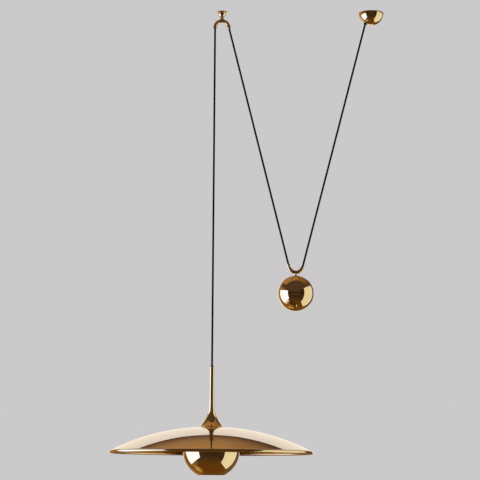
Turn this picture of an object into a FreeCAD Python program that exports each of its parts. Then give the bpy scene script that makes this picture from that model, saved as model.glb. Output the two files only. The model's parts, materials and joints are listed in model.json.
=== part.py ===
import FreeCAD, Part
import math
import os
import Sketcher

# Rise and fall pendant: a brass disc lamp on a black textile cord, balanced by a brass ball.
# The cord is fixed in the small ceiling canopy on the right, runs down through the bent guide
# tube of the ball, up through the bent guide tube of the ceiling hook and down to the lamp.
# Millimetres, +Z up. The origin is on the ceiling at the axis of the hook. The canopy lies
# along +X, and everything hangs in the plane Y = 0.

os.makedirs("parts", exist_ok=True)
doc = FreeCAD.newDocument("rise_and_fall_pendant")
VECTOR = FreeCAD.Vector
ACROSS = VECTOR(0, 1, 0)
UP = VECTOR(0, 0, 1)

# --- Driving dimensions: plain numbers, each under its own name -------------------------------

DRIVING = [
    ("shade_diameter", 550.0, "over the rolled edge of the disc"),
    ("shade_curve", 600.0, "radius of the shallow dome, outside"),
    ("shade_rise", 73.2, "rolled edge's underside to the top of the dome"),
    ("sheet_wall", 0.7, "spun brass of the shade"),
    ("roll_radius", 4.5, "rolled edge, a hollow wire-edge roll"),
    ("stem_diameter", 13.3, "straight top of the stem"),
    ("stem_height", 162.6, "top of the dome to the top of the stem"),
    ("stem_foot_diameter", 74.4, "foot of the trumpet on the dome"),
    ("stem_wall", 1.0, "spun brass of the stem"),
    ("flare_radius", 62.0, "lower, tighter curve of the trumpet"),
    ("taper_radius", 326.0, "upper, long curve of the trumpet"),
    ("taper_angle", 6.2, "slope off plumb where the two curves meet, degrees"),
    ("flare_turn", 51.65, "turn of the lower curve, degrees"),
    ("foot_lip", -0.35, "upright edge of the foot, from the top of the dome"),
    ("bowl_radius", 77.0, "glare bowl, outside"),
    ("bowl_centre_rise", 12.0, "bowl's centre above the rolled edge's underside"),
    ("bowl_mouth_diameter", 70.0, "open bottom of the bowl"),
    ("bowl_wall", 0.8, "spun brass of the bowl"),
    ("cord_diameter", 5.4, "textile covered cord"),
    ("lamp_cord_length", 941.6, "hook guide to the top of the stem"),
    ("bush_lip", 2.2, "cord bush above the stem"),
    ("guide_diameter", 10.0, "bent guide tube, outside"),
    ("guide_bore", 8.0, "bent guide tube, inside"),
    ("guide_bend", 19.0, "bend radius on the tube's centreline"),
    ("guide_end", 7.9, "straight tube past the bend, on a splayed leg"),
    ("hook_end", 3.0, "straight tube past the bend, on the plumb leg"),
    ("hook_depth", 44.0, "ceiling to the centre of the hook's bend"),
    ("rosette_diameter", 35.0, "ceiling rosette of the hook"),
    ("rosette_wall", 0.8, "spun brass of the rosette"),
    ("hook_screw_diameter", 6.0, "wood thread of the hanger screw"),
    ("hook_shank_diameter", 5.0, "machine thread of the hanger screw, in the neck"),
    ("hook_screw_reach", 38.0, "wood thread above the ceiling plane, to its point"),
    ("counterweight_offset", 207.8, "hook axis to counterweight axis"),
    ("counterweight_depth", 710.4, "ceiling to the centre of the counterweight's bend"),
    ("ball_diameter", 98.0, "solid brass ball"),
    ("ball_neck", 3.8, "guide tube's underside to the ball"),
    ("canopy_diameter", 68.0, "ceiling canopy, a half ball"),
    ("canopy_wall", 1.0, "spun brass of the canopy"),
    ("cord_entry_angle", 28.8, "cord hole round the canopy from its lowest point, degrees"),
    ("nipple_diameter", 10.0, "threaded tube through the lamp"),
    ("nipple_bore", 8.0, "bore of the threaded tube"),
    ("holder_diameter", 42.0, "lamp holder, over its skirt"),
    ("bulb_diameter", 55.0, "bulb"),
    ("bulb_length", 94.0, "bulb, from its contact to its end"),
    ("running_gap", 0.05, "radial gap of a thread or a spigot in its hole"),
    ("plate_diameter", 58.0, "mounting plate in the canopy"),
    ("plate_wall", 2.0, "pressed steel of the mounting plate"),
    ("ceiling_screw_diameter", 4.0, "screws that hold the plate to the ceiling"),
    ("ceiling_screw_offset", 20.0, "canopy axis to each ceiling screw"),
    ("cable_hole_diameter", 12.0, "hole in the plate for the supply cable"),
    ("pole_pitch", 8.5, "terminal block, pole to pole"),
    ("sheath_reach", 24.5, "cord's sheath past the canopy's cord hole"),
    ("core_diameter", 1.5, "each core of the cord, over its insulation"),
    ("arm_width", 12.0, "arms of the bowl's bracket"),
    ("arm_wall", 1.5, "sheet brass of the bracket"),
    ("bowl_rim", 6.0, "straight rim above the bowl's widest circle"),
    ("bowl_screw_diameter", 2.9, "screws of the bowl"),
]

dims = doc.addObject("Spreadsheet::Sheet", "dims")
for row, (name, number, note) in enumerate(DRIVING, start=1):
    dims.set(f"A{row}", note)
    dims.set(f"B{row}", str(number))
    dims.setAlias(f"B{row}", name)
doc.recompute()

# --- Worked-out dimensions: formulas over the driving ones -------------------------------------

DERIVED = [
    ("bend_fall", "dims.counterweight_depth - dims.hook_depth"),
    ("bend_distance", "sqrt(dims.counterweight_offset ^ 2 + derived.bend_fall ^ 2)"),
    # The cord leaves one bend and meets the other on the far side, so it lies on the line
    # that crosses between the two bends and touches both.
    ("splay_angle", "atan(dims.counterweight_offset / derived.bend_fall)"
                    " - asin(2 * dims.guide_bend / derived.bend_distance)"),
    ("leg_x", "dims.guide_bend * cos(derived.splay_angle) + dims.guide_end * sin(derived.splay_angle)"),
    ("leg_z", "dims.guide_end * cos(derived.splay_angle) - dims.guide_bend * sin(derived.splay_angle)"),
    ("left_run", "sqrt(derived.bend_distance ^ 2 - 4 * dims.guide_bend ^ 2) - 2 * dims.guide_end"),
    ("hook_leg_end", "-dims.hook_depth - dims.hook_end"),
    ("ball_leg_end", "derived.leg_z - dims.counterweight_depth"),
    ("ball_top", "-dims.counterweight_depth - dims.guide_bend - dims.guide_diameter / 2 - dims.ball_neck"),
    ("ball_centre", "derived.ball_top - dims.ball_diameter / 2"),
    ("lamp_x", "-dims.guide_bend"),
    ("stem_top", "derived.hook_leg_end - dims.lamp_cord_length"),
    ("apex", "derived.stem_top - dims.stem_height"),
    ("edge", "derived.apex - dims.shade_rise"),
    ("entry_z", "-dims.canopy_diameter / 2 * cos(dims.cord_entry_angle)"),
    ("right_run", "(derived.entry_z - derived.ball_leg_end) / cos(derived.splay_angle)"),
    ("entry_x", "dims.counterweight_offset + derived.leg_x + derived.right_run * sin(derived.splay_angle)"),
    ("canopy_x", "derived.entry_x + dims.canopy_diameter / 2 * sin(dims.cord_entry_angle)"),
    ("roll_centre", "dims.shade_diameter / 2 - dims.roll_radius"),
    ("foot_drop", "(dims.stem_foot_diameter / 2 - dims.stem_wall) ^ 2 / dims.shade_curve / 2"),
    ("taper_r", "dims.stem_diameter / 2 + dims.taper_radius * (1 - cos(dims.taper_angle))"),
    ("arm_reach", "dims.bowl_radius - dims.bowl_wall - 0.3"),
    ("bowl_rim_z", "dims.bowl_centre_rise - dims.shade_rise + dims.bowl_rim"),
    ("bowl_screw_z", "derived.bowl_rim_z - dims.bowl_rim / 2"),
]

derived = doc.addObject("Spreadsheet::Sheet", "derived")
for row, (name, formula) in enumerate(DERIVED, start=1):
    derived.set(f"A{row}", name.replace("_", " "))
    derived.set(f"B{row}", "=" + formula)
    derived.setAlias(f"B{row}", name)
    doc.recompute()

nodes = {}


def value(formula):
    """The number that a formula over the two sheets gives."""
    result = derived.evalExpression(str(formula))
    return float(getattr(result, "Value", result))


def keep(label, item):
    """File an object under the name of the piece that it is."""
    item.Label = label
    nodes[label] = item
    return item


# --- Drawing and making -------------------------------------------------------------------------

def place(item, spot, tilt=None, axis=ACROSS):
    """Bind an object's position, and its turn about one axis, to formulas."""
    turn = FreeCAD.Rotation(axis, value(tilt)) if tilt else FreeCAD.Rotation()
    item.Placement = FreeCAD.Placement(VECTOR(*[value(part) for part in spot]), turn)
    for letter, part in zip("xyz", spot):
        item.setExpression(f"Placement.Base.{letter}", str(part))
    if tilt:
        item.setExpression("Placement.Rotation.Angle", str(tilt))


def plane_sketch(body, name, role):
    """An empty sketch on one of a body's own origin planes."""
    sketch = body.newObject("Sketcher::SketchObject", name)
    plane = [item for item in body.Origin.OriginFeatures if item.Role == role][0]
    sketch.AttachmentSupport = [(plane, "")]
    sketch.MapMode = "FlatFace"
    return sketch


def bind(sketch, kind, where, formula, name):
    """Add one dimension to a sketch and bind it to its formula."""
    index = sketch.addConstraint(Sketcher.Constraint(kind, *where, value(formula)))
    sketch.renameConstraint(index, name)
    sketch.setExpression(f"Constraints.{name}", str(formula))


def arc_between(start, end, radius):
    """The minor arc between two points: a positive radius turns left, a negative one right."""
    half = (end - start) * 0.5
    side = VECTOR(-half.y, half.x, 0)
    side.normalize()
    reach = math.sqrt(max(radius * radius - half.Length ** 2, 0.0))
    centre = start + half + side * math.copysign(reach, radius)
    circle = Part.Circle(centre, UP, abs(radius))
    first = math.atan2(start.y - centre.y, start.x - centre.x)
    last = math.atan2(end.y - centre.y, end.x - centre.x)
    if radius > 0:
        return Part.ArcOfCircle(circle, first, last), (1, 2)
    return Part.ArcOfCircle(circle, last, first), (2, 1)


def draw(sketch, outline, closed=True):
    """Draw lines and arcs through (across, up[, arc radius to the next point]) formulas."""
    points = [VECTOR(value(item[0]), value(item[1]), 0) for item in outline]
    count = len(outline) if closed else len(outline) - 1
    drawn = []
    for index in range(count):
        start = points[index]
        end = points[(index + 1) % len(points)]
        if len(outline[index]) > 2:
            curve, ends = arc_between(start, end, value(outline[index][2]))
        else:
            curve, ends = Part.LineSegment(start, end), (1, 2)
        drawn.append((sketch.addGeometry(curve), ends))
    for index in range(count - 1 if not closed else count):
        here, ends = drawn[index]
        there, starts = drawn[(index + 1) % len(drawn)]
        sketch.addConstraint(Sketcher.Constraint("Coincident", here, ends[1], there, starts[0]))
    for index, item in enumerate(outline):
        curve, ends = drawn[min(index, count - 1)]
        end = ends[0] if index < count else ends[1]
        bind(sketch, "DistanceX", (-1, 1, curve, end), item[0], f"across_{index}")
        bind(sketch, "DistanceY", (-1, 1, curve, end), item[1], f"up_{index}")
        if len(item) > 2 and index < count:
            bind(sketch, "Radius", (curve,), f"abs({item[2]})", f"radius_{index}")


def revolve(body, outline, name="turning"):
    """Turn a closed outline of (radius, height) round the body's upright axis."""
    sketch = plane_sketch(body, f"{name}_outline", "XZ_Plane")
    draw(sketch, outline)
    feature = body.newObject("PartDesign::Revolution", name)
    feature.Profile = sketch
    feature.ReferenceAxis = (sketch, ["V_Axis"])
    feature.Angle = 360
    doc.recompute()
    return feature


def turned(label, outline, spot=("0", "0", "0"), tilt=None, axis=ACROSS):
    """A turned or spun piece: one outline round an axis through its place."""
    body = doc.addObject("PartDesign::Body", label)
    revolve(body, outline)
    place(body, spot, tilt, axis)
    return body


def disc(label, outer, inner, low, high, spot):
    """A ring of rectangular section, such as a washer."""
    return turned(label, [(inner, low), (outer, low), (outer, high), (inner, high)], spot)


def cylinder(label, radius, height, spot, tilt=None, axis=ACROSS):
    """A round bar or hole that rises from its place."""
    item = doc.addObject("Part::Cylinder", label)
    item.setExpression("Radius", str(radius))
    item.setExpression("Height", str(height))
    place(item, spot, tilt, axis)
    return item


def block(label, sizes, spot):
    """A box centred on its place along X and Y, standing on it along Z."""
    item = doc.addObject("Part::Box", label)
    for name, size in zip(("Length", "Width", "Height"), sizes):
        item.setExpression(name, str(size))
    place(item, (f"{spot[0]} - ({sizes[0]}) / 2", f"{spot[1]} - ({sizes[1]}) / 2", spot[2]))
    return item


def hexagon(label, across_flats, height, spot):
    """A hexagonal bar, such as a nut, by its size across the flats."""
    item = doc.addObject("Part::Prism", label)
    item.Polygon = 6
    item.setExpression("Circumradius", f"{across_flats} / 2 / cos(30 deg) * 1 mm")
    item.setExpression("Height", f"{height} * 1 mm")
    place(item, spot)
    return item


def cut(label, base, *tools):
    """One piece less others."""
    tool = tools[0]
    if len(tools) > 1:
        tool = doc.addObject("Part::MultiFuse", f"{label}_tools")
        tool.Shapes = list(tools)
    item = doc.addObject("Part::Cut", label)
    item.Base = base
    item.Tool = tool
    return item


def fuse(label, *items):
    """Several solids made into one."""
    item = doc.addObject("Part::MultiFuse", label)
    item.Shapes = list(items)
    item.Refine = True
    return item


def group(label, items):
    """Separate, identical pieces that share one name."""
    item = doc.addObject("Part::Compound", label)
    item.Links = items
    return item


def bent(label, legs, up, radii, spot):
    """A tube or cord round a bend: each leg is (side, angle of bend, straight end)."""
    body = doc.addObject("PartDesign::Body", label)
    for number, (side, angle, straight) in enumerate(legs, start=1):
        bend_x = f"{side} * dims.guide_bend * sin({angle})"
        bend_z = f"{up} * dims.guide_bend * cos({angle})"
        end_x = f"{bend_x} + {side} * {straight} * cos({angle})"
        end_z = f"{bend_z} - {up} * {straight} * sin({angle})"
        path = plane_sketch(body, f"path_{number}", "XZ_Plane")
        draw(path, [
            ("0", f"{up} * dims.guide_bend", f"{-side * up} * dims.guide_bend"),
            (bend_x, bend_z),
            (end_x, end_z),
        ], closed=False)
        section = plane_sketch(body, f"section_{number}", "YZ_Plane")
        middle = VECTOR(0, value(f"{up} * dims.guide_bend"), 0)
        for index, radius in enumerate(radii):
            curve = section.addGeometry(Part.Circle(middle, UP, value(radius)))
            bind(section, "DistanceX", (-1, 1, curve, 3), "0", f"across_{index}")
            bind(section, "DistanceY", (-1, 1, curve, 3), f"{up} * dims.guide_bend", f"up_{index}")
            bind(section, "Radius", (curve,), radius, f"radius_{index}")
        pipe = body.newObject("PartDesign::AdditivePipe", f"pipe_{number}")
        pipe.Profile = section
        pipe.Spine = path
        doc.recompute()
    place(body, spot)
    return body


def spun(label, outline, spot):
    """A turned piece that is kept as it is."""
    return keep(label, turned(label, outline, spot))


# --- Ceiling hook -------------------------------------------------------------------------------

HOOK = ("0", "0", "0")
HOOK_BEND = ("0", "0", "-dims.hook_depth")
TUBE = ("dims.guide_diameter / 2", "dims.guide_bore / 2")
CORE = ("dims.cord_diameter / 2",)
SIDES = ((1, -1), (2, 1))
POLES = (-1, 0, 1)
SPLAYED = ("90 deg - derived.splay_angle", "dims.guide_end")
PLUMB = ("90 deg", "dims.hook_end")


def saddle(label, spot):
    """The ring that the bent tube fills, to cut its seat into what is soldered to it."""
    ring = doc.addObject("Part::Torus", label)
    ring.setExpression("Radius1", "dims.guide_bend")
    ring.setExpression("Radius2", "dims.guide_diameter / 2")
    place(ring, spot, "90", VECTOR(1, 0, 0))
    return ring


def make_hook():
    """Rosette, hanger screw, neck and bent guide tube."""
    wall = "dims.rosette_wall"
    spun("hook_rosette", [
        ("dims.rosette_diameter / 2", "0"),
        (f"dims.rosette_diameter / 2 - {wall}", "0"),
        (f"dims.rosette_diameter / 2 - {wall}", "-0.7", "8.5"),
        (f"11 - {wall}", "-3.4", "-14"),
        ("6.1", "-11.2"),
        ("6.1", "-12.6"),
        ("7.1", "-12.6", "14"),
        ("11", "-4.4", "-8.5"),
        ("dims.rosette_diameter / 2", "-1.4"),
    ], HOOK)
    thread = "dims.hook_screw_diameter / 2"
    shank = "dims.hook_shank_diameter / 2"
    spun("hook_screw", [
        ("0", "-14"), (f"{shank} - 0.5", "-14"), (shank, "-13.4"), (shank, "0"), (thread, "0"),
        (thread, "dims.hook_screw_reach"), ("0", "dims.hook_screw_reach + 6"),
    ], HOOK)
    way = f"{shank} + dims.running_gap"
    blank = turned("hook_neck_blank", [
        (way, "-5"), (way, "-14.5"), ("0", "-15.5"), ("0", "-24"), ("5", "-24"), ("5", "-18"),
        ("6", "-16"), ("6", "-5"),
    ], HOOK)
    keep("hook_neck", cut("hook_neck_part", blank, saddle("hook_seat", HOOK_BEND)))
    legs = [(1,) + SPLAYED, (-1,) + PLUMB]
    keep("hook_guide", bent("hook_guide_tube", legs, 1, TUBE, HOOK_BEND))
    keep("cord_in_hook", bent("cord_in_hook_bend", legs, 1, CORE, HOOK_BEND))


# --- Counterweight --------------------------------------------------------------------------------

WEIGHT_BEND = ("dims.counterweight_offset", "0", "-dims.counterweight_depth")
BALL = ("dims.counterweight_offset", "0", "derived.ball_centre")


def make_counterweight():
    """Bent guide tube, threaded lug and solid ball."""
    legs = [(1,) + SPLAYED, (-1,) + SPLAYED]
    keep("counterweight_guide", bent("counterweight_guide_tube", legs, -1, TUBE, WEIGHT_BEND))
    keep("cord_in_counterweight", bent("cord_in_weight_bend", legs, -1, CORE, WEIGHT_BEND))
    ball = "dims.ball_diameter / 2"
    flat = "5.4"
    face = f"sqrt(({ball}) ^ 2 - {flat} ^ 2)"
    spun("counterweight_ball", [
        ("0", f"-{ball}", ball),
        (ball, "0", ball),
        (flat, face),
        ("3 + dims.running_gap", face),
        ("3 + dims.running_gap", f"{face} - 24"),
        ("0", f"{face} - 26"),
    ], BALL)
    blank = turned("counterweight_lug_blank", [
        ("0", f"{face} - 22"), ("2.5", f"{face} - 22"), ("3", f"{face} - 21.4"), ("3", face),
        ("4.6", face), ("4.6", f"{ball} + dims.ball_neck + 2"), ("0", f"{ball} + dims.ball_neck + 2"),
    ], BALL)
    keep("counterweight_lug", cut("counterweight_lug_part", blank, saddle("lug_seat", WEIGHT_BEND)))


# --- Ceiling canopy -------------------------------------------------------------------------------

CANOPY = ("derived.canopy_x", "0", "0")
ENTRY = ("derived.entry_x", "0", "derived.entry_z")
PLATE = "dims.plate_wall"
TERMINAL_X = 13.0
TERMINAL_FIXING_Y = 4.25
SCREW_PITCH = 3.0
GRUB_Z = -6.0
CLAMP_X = -12.0
CLAMP_SCREW_Y = 7.0


def on_canopy(across, along, up):
    """A place measured from the canopy's axis on the ceiling."""
    return (f"derived.canopy_x + {across}", str(along), str(up))


def along_cord(distance):
    """A place on the cord's line, past the canopy's cord hole."""
    return (f"derived.entry_x + {distance} * sin(derived.splay_angle)", "0",
            f"derived.entry_z + {distance} * cos(derived.splay_angle)")


def pan_screw(label, radius, length, head_radius, head_height, spot, relief, neck):
    """A screw that points up from its place: slotted pan head, thinner neck, shank."""
    blank = turned(f"{label}_blank", [
        ("0", f"-{head_height}"), (f"{head_radius} - 0.6", f"-{head_height}"),
        (head_radius, f"0.6 - {head_height}"), (head_radius, "0"), (neck, "0"),
        (neck, relief), (radius, relief), (radius, f"{length} - ({radius})"), ("0", length),
    ], spot)
    slot = block(f"{label}_slot_box", (f"2 * {head_radius} + 1", "0.8", "0.9"),
                 (spot[0], spot[1], f"{spot[2]} - {head_height} - 0.1"))
    return cut(f"{label}_part", blank, slot)


def make_canopy():
    """Dome, mounting plate, screws, grommet and cores, round the terminal block and cord clamp."""
    outer = "dims.canopy_diameter / 2"
    inner = f"({outer} - dims.canopy_wall)"
    dome = turned("canopy_dome_blank", [
        (outer, "0"), (inner, "0", f"-{inner}"), ("0", f"-{inner}"), ("0", f"-{outer}", outer),
    ], CANOPY)
    entry_hole = cylinder("canopy_cord_hole", "4.5", "12", (
        "derived.entry_x - 6 * sin(dims.cord_entry_angle)", "0",
        "derived.entry_z - 6 * cos(dims.cord_entry_angle)"), "dims.cord_entry_angle")
    grub_holes = cylinder("canopy_grub_holes", "1.6", "80", on_canopy(-40, 0, GRUB_Z), "90")
    keep("canopy_dome", cut("canopy_dome_part", dome, entry_hole, grub_holes))

    plate = disc("canopy_plate_disc", "dims.plate_diameter / 2", "dims.cable_hole_diameter / 2",
                 f"-{PLATE}", "0", CANOPY)
    arms = [plate]
    for number, side in SIDES:
        arms.append(block(f"plate_tab_{number}", (PLATE, "9", "10"), on_canopy(f"{side} * 30", 0, -10)))
        arms.append(block(f"plate_bridge_{number}", ("4", "9", PLATE),
                          on_canopy(f"{side} * 29", 0, f"-{PLATE}")))
    holes = [cylinder("plate_grub_holes", "1.55", "80", on_canopy(-40, 0, GRUB_Z), "90"),
             cylinder("plate_terminal_hole", "1.25", "10", on_canopy(TERMINAL_X, TERMINAL_FIXING_Y, -5))]
    for number, side in SIDES:
        holes.append(cylinder(f"plate_screw_hole_{number}", "dims.ceiling_screw_diameter / 2 + 0.25", "10",
                              on_canopy(0, f"{side} * dims.ceiling_screw_offset", -5)))
        holes.append(cylinder(f"plate_clamp_hole_{number}", "1.25", "10",
                              on_canopy(CLAMP_X, side * CLAMP_SCREW_Y, -5)))
    keep("canopy_plate", cut("canopy_plate_part", fuse("canopy_plate_body", *arms), *holes))

    screw = "dims.ceiling_screw_diameter / 2"
    keep("canopy_ceiling_screws", group("ceiling_screws", [
        pan_screw(f"ceiling_screw_{number}", screw, "32", "4", "2.4",
                  on_canopy(0, f"{side} * dims.ceiling_screw_offset", f"-{PLATE}"), PLATE, f"{screw} - 0.5")
        for number, side in SIDES]))
    keep("canopy_grub_screws", group("canopy_grubs", [
        cylinder(f"canopy_grub_{number}", "1.5", "6.2", on_canopy(side * 33.6, 0, GRUB_Z), f"{-side * 90}")
        for number, side in SIDES]))
    make_terminal_block()
    make_cord_clamp()

    lip = "sqrt((dims.canopy_diameter / 2) ^ 2 - 4.5 ^ 2)"
    back = f"sqrt({inner} ^ 2 - 6 ^ 2)"
    grommet = turned("canopy_grommet_ring", [
        ("3.5", f"-{lip} - 1.2"), ("5.6", f"-{lip} - 1.2"), ("6", f"-{lip} - 0.8"), ("6", f"-{lip}"),
        ("4.5", f"-{lip}"), ("4.5", f"-{back}"), ("6", f"-{back}"), ("6", f"1.2 - {back}"),
        ("3.5", f"1.2 - {back}"),
    ], CANOPY, "dims.cord_entry_angle")
    keep("canopy_grommet", grommet)

    keep("cord_in_canopy", cylinder("cord_in_canopy_run", "dims.cord_diameter / 2", "dims.sheath_reach",
                                    ENTRY, "derived.splay_angle"))
    cores = []
    start = VECTOR(*[value(part) for part in along_cord("(dims.sheath_reach + 0.95)")])
    for pole in POLES:
        first = start + VECTOR(0, pole * 1.7, 0)
        last = VECTOR(value("derived.canopy_x") + TERMINAL_X - 4.5, pole * value("dims.pole_pitch"), -8)
        core = doc.addObject("Part::Feature", f"canopy_core_{pole + 2}")
        core.Shape = Part.makeCylinder(value("dims.core_diameter / 2"), (last - first).Length, first,
                                       last - first)
        cores.append(core)
    keep("canopy_cores", group("canopy_core_set", cores))


def make_terminal_block():
    """Three-way block with its brass sleeves, their screws and the screw that holds it."""
    body = block("terminal_body", ("12", "27", "12"), on_canopy(TERMINAL_X, 0, -14))
    wells = [cylinder("terminal_fixing_way", "1.3", "14", on_canopy(TERMINAL_X, TERMINAL_FIXING_Y, -15))]
    sleeves = []
    screws = []
    for pole in POLES:
        row = f"{pole} * dims.pole_pitch"
        wells.append(cylinder(f"terminal_wire_way_{pole + 2}", "2.4", "12",
                              on_canopy(TERMINAL_X - 6, row, -8), "90"))
        tube = cylinder(f"sleeve_body_{pole + 2}", "2.35", "11",
                        on_canopy(TERMINAL_X - 5.5, row, -8), "90")
        tools = [cylinder(f"sleeve_bore_{pole + 2}", "1.5", "13",
                          on_canopy(TERMINAL_X - 6.5, row, -8), "90")]
        for number, end in SIDES:
            place_x = TERMINAL_X + end * SCREW_PITCH
            wells.append(cylinder(f"terminal_well_{pole + 2}_{number}", "1.6", "5",
                                  on_canopy(place_x, row, -15)))
            tools.append(cylinder(f"sleeve_tap_{pole + 2}_{number}", "1.35", "4",
                                  on_canopy(place_x, row, -11.5)))
            screws.append(cylinder(f"terminal_screw_{pole + 2}_{number}", "1.3", "4.2",
                                   on_canopy(place_x, row, -13.4)))
        sleeves.append(cut(f"sleeve_{pole + 2}", tube, *tools))
    keep("terminal_block", cut("terminal_block_part", body, *wells))
    keep("terminal_sleeves", group("terminal_sleeve_set", sleeves))
    keep("terminal_screws", group("terminal_screw_set", screws))
    keep("terminal_fixing_screw", pan_screw("terminal_fixing", "1.2", "13.5", "1.9", "1.2",
                                            on_canopy(TERMINAL_X, TERMINAL_FIXING_Y, -14), "12", "1.1"))


def make_cord_clamp():
    """The block that grips the sheath and carries the pull of the cord, with its two screws."""
    body = block("clamp_body", ("14", "20", "9"), on_canopy(CLAMP_X, 0, -11))
    ways = [
        cylinder("clamp_cord_way", "dims.cord_diameter / 2 + 0.05", "40", along_cord("0"),
                 "derived.splay_angle"),
        block("clamp_core_way", ("12", "11", "5"), on_canopy(CLAMP_X + 6, 0, -7)),
        cylinder("clamp_pinch_way", "1.3", "8", on_canopy(CLAMP_X - 8, 0, -8.5), "90"),
    ]
    for number, side in SIDES:
        ways.append(cylinder(f"clamp_fixing_way_{number}", "1.35", "12",
                             on_canopy(CLAMP_X, side * CLAMP_SCREW_Y, -12)))
    keep("cord_clamp", cut("cord_clamp_part", body, *ways))
    keep("cord_clamp_screws", group("clamp_fixings", [
        pan_screw(f"clamp_fixing_{number}", "1.2", "10.5", "2.3", "1.4",
                  on_canopy(CLAMP_X, side * CLAMP_SCREW_Y, -11), "9", "1.1")
        for number, side in SIDES]))


# --- Lamp ---------------------------------------------------------------------------------------

LAMP = ("derived.lamp_x", "0", "derived.apex")
BOWL_CENTRE = "(dims.bowl_centre_rise - dims.shade_rise)"
WASHER_TOP = "(-dims.sheet_wall - 0.12)"
THREAD = "(dims.nipple_diameter / 2 + dims.running_gap)"
HOLDER = "(dims.holder_diameter / 2)"
BULB_TOP = "-32"
BOSS_TOP = 36.0
ARM_TURNS = (90, 210, 330)
ARM_TOP = -6.0
NUT_HEIGHT = 4.0


def at_lamp(across, along, up):
    """A place measured from the top of the dome on the lamp's axis."""
    return (f"derived.lamp_x + {across}", str(along), f"derived.apex + {up}")


def make_shade():
    """The shallow spun dome with its hollow rolled edge."""
    curve = "dims.shade_curve"
    under = "(dims.shade_curve - dims.sheet_wall)"
    roll = "derived.roll_centre"
    level = "(dims.roll_radius - dims.shade_rise)"
    outside = "dims.roll_radius"
    inside = "(dims.roll_radius - dims.sheet_wall)"
    body = doc.addObject("PartDesign::Body", "shade")
    revolve(body, [
        (THREAD, f"sqrt({under} ^ 2 - {THREAD} ^ 2) - {curve}", f"-{under}"),
        (roll, f"sqrt({under} ^ 2 - {roll} ^ 2) - {curve}"),
        (roll, f"sqrt({curve} ^ 2 - {roll} ^ 2) - {curve}", curve),
        (THREAD, f"sqrt({curve} ^ 2 - {THREAD} ^ 2) - {curve}"),
    ], "dome")
    end = "190 deg"
    revolve(body, [
        (roll, f"{level} + {outside}", f"-{outside}"),
        (f"{roll} + {outside}", level, f"-{outside}"),
        (roll, f"{level} - {outside}", f"-{outside}"),
        (f"{roll} + {outside} * cos({end})", f"{level} + {outside} * sin({end})"),
        (f"{roll} + {inside} * cos({end})", f"{level} + {inside} * sin({end})", inside),
        (roll, f"{level} - {inside}", inside),
        (f"{roll} + {inside}", level, inside),
        (roll, f"{level} + {inside}"),
    ], "rolled_edge")
    place(body, LAMP)
    keep("shade", body)


def make_stem():
    """The trumpet stem with its bush, cord grip and soldered boss."""
    foot = "dims.stem_foot_diameter / 2"
    low = "-derived.foot_drop"
    wall = "dims.stem_wall"
    top = "dims.stem_height"
    straight = "dims.stem_diameter / 2"
    lip = "dims.foot_lip"
    # The lower curve starts on the foot's lip and ends, sloping by the taper angle, on the upper
    # curve, which ends plumb at the stem's straight diameter.
    reach = "2 * dims.flare_radius * sin(dims.flare_turn / 2)"
    join_r = "derived.taper_r"
    join_z = f"({lip} + sqrt(({reach}) ^ 2 - ({foot} - {join_r}) ^ 2))"
    taper_z = f"({join_z} + dims.taper_radius * sin(dims.taper_angle))"
    inner_join_r = f"({join_r} - {wall} * cos(dims.taper_angle))"
    inner_join_z = f"({join_z} - {wall} * sin(dims.taper_angle))"
    spun("stem", [
        (foot, low), (foot, lip, "-dims.flare_radius"),
        (join_r, join_z, "-dims.taper_radius"),
        (straight, taper_z), (straight, f"{top} - 0.5"), (f"{straight} - 0.5", top),
        (f"{straight} - {wall}", top),
        (f"{straight} - {wall}", taper_z, f"dims.taper_radius + {wall}"),
        (inner_join_r, inner_join_z, f"dims.flare_radius + {wall}"),
        (f"{foot} - {wall}", f"{lip} - 0.6"), (f"{foot} - {wall}", low),
    ], LAMP)
    # The boss fits the inside of the lower curve, whose centre these two give.
    flare_r = f"({foot} + dims.flare_radius * cos(dims.flare_turn + dims.taper_angle))"
    flare_z = f"({lip} + dims.flare_radius * sin(dims.flare_turn + dims.taper_angle))"
    inside_r = f"sqrt((dims.flare_radius + {wall}) ^ 2 - ({flare_z} - {BOSS_TOP}) ^ 2)"
    boss_r = f"({flare_r} - {inside_r} - 0.35)"
    spun("stem_boss", [
        (THREAD, BOSS_TOP - 9), (boss_r, BOSS_TOP - 9), (boss_r, BOSS_TOP), (THREAD, BOSS_TOP),
    ], LAMP)
    cord = "dims.cord_diameter / 2"
    spun("cord_grip", [
        (f"{cord} + 0.02", BOSS_TOP + 0.2), ("6.6", BOSS_TOP + 0.2), ("6.6", BOSS_TOP + 8),
        ("5.2", BOSS_TOP + 13), (f"{cord} + 0.02", BOSS_TOP + 13),
    ], LAMP)
    spun("stem_bush", [
        (f"{cord} + 0.05", f"{top} - 12"), (f"{straight} - {wall} - 0.03", f"{top} - 12"),
        (f"{straight} - {wall} - 0.03", top), ("5.5", top), ("5.5", f"{top} + dims.bush_lip - 0.8"),
        ("4.7", f"{top} + dims.bush_lip"), (f"{cord} + 0.05", f"{top} + dims.bush_lip"),
    ], LAMP)
    keep("cord_in_stem", cylinder("cord_in_stem_run", cord, f"{top} + dims.bush_lip + 14",
                                  at_lamp(0, 0, -14)))


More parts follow.
